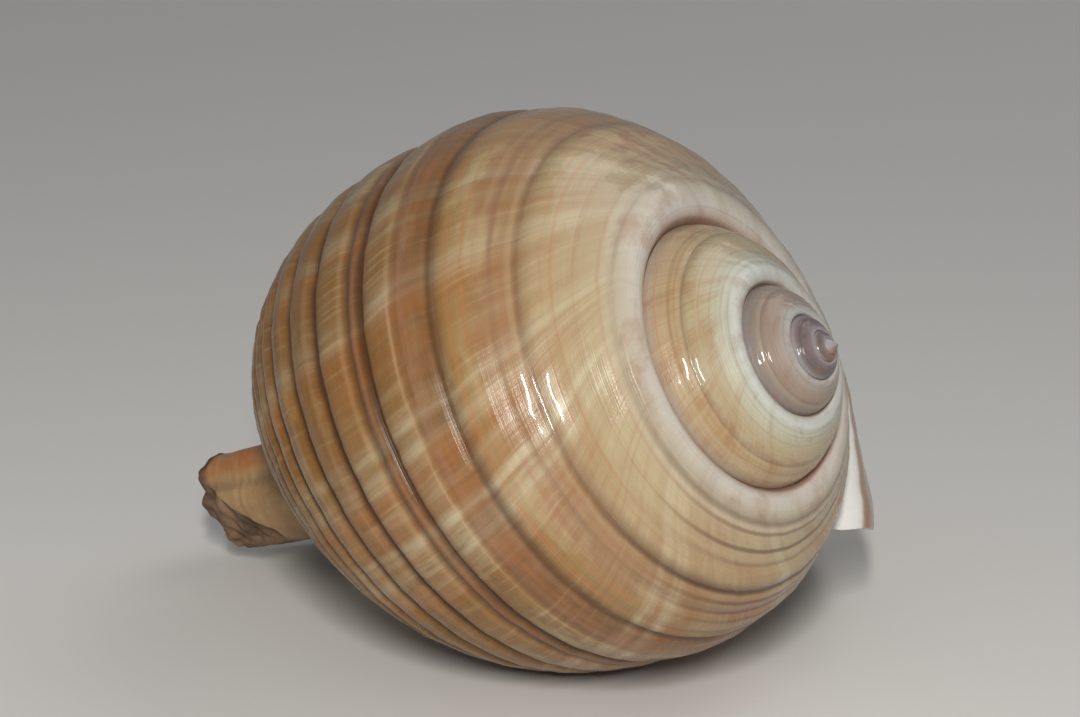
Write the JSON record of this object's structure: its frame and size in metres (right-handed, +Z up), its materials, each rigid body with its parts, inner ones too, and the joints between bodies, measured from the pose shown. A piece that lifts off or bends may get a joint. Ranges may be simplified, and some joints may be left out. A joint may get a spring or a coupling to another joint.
{
  "type": "tun shell",
  "caption": "Large globular sea snail shell with broad spiral ribs, a low stepped spire, a wide aperture below and a short canal.",
  "frame": {"origin": "middle of the box in plan, at the level of the table that the shell lies on", "axes": "+Z up, +X towards the spire, +Y towards the outer lip"},
  "size_m": [0.1348, 0.1188, 0.0924],
  "materials": {
    "shell": "glossy, tan with brown grooves and cream growth streaks"
  },
  "bodies": {
    "root": {"shell": "shell"}
  },
  "joints": []
}
